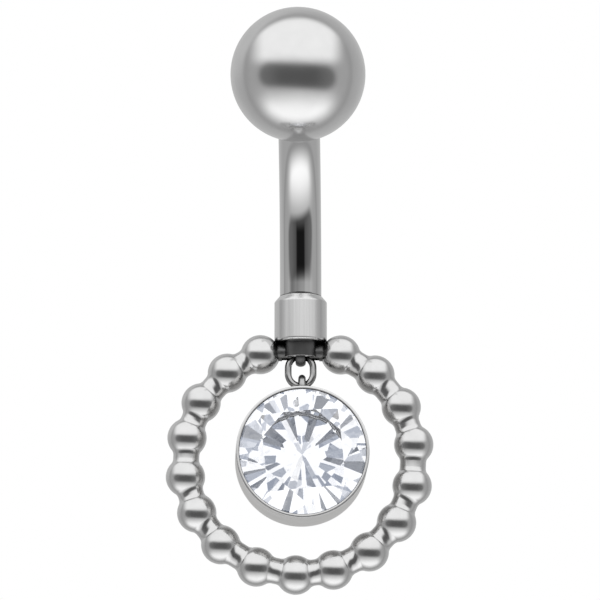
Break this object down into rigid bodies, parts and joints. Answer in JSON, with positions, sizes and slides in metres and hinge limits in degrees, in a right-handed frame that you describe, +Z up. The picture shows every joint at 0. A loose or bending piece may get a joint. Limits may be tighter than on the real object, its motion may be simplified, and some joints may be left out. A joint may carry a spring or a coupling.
{
  "type": "navel ring",
  "caption": "Bent barbell navel ring with a screw-on ball above and a beaded hoop below, in which a bezel-set round stone swings on a jump ring.",
  "frame": {"origin": "middle of the bar's bend, on the bar's centreline, where the piercing sits on the bar", "axes": "+Z up along the collar and the middle of the hoop, towards the ball; -Y is the front, towards which the bar bends and the stone faces; +X is to the right of someone looking at the front"},
  "size_m": [0.0103, 0.0078, 0.022],
  "materials": {
    "polished_steel": "mirror polished surgical steel",
    "satin_steel": "satin side wall with a polished rim",
    "clear_stone": "clear polished cubic zirconia"
  },
  "bodies": {
    "barbell": {"curved_bar": "polished_steel", "beaded_hoop": "polished_steel"},
    "ball": {"top_ball": "polished_steel"},
    "link": {"jump_ring": "polished_steel"},
    "pendant": {"bezel": "satin_steel", "stone": "clear_stone"}
  },
  "joints": [
    {"name": "ball_slide", "type": "slide", "parent": "barbell", "child": "ball", "axis": [0, -0.682, 0.7314], "range_m": [0, 0.003]},
    {"name": "link_swing", "type": "hinge", "parent": "barbell", "child": "link", "pos_m": [0, 0.00058, -0.00607], "axis": [0, 1, 0], "range_deg": [-14, 14]},
    {"name": "pendant_swing", "type": "hinge", "parent": "link", "child": "pendant", "pos_m": [0, 0.00058, -0.00696], "axis": [1, 0, 0], "range_deg": [-60, 60]}
  ]
}
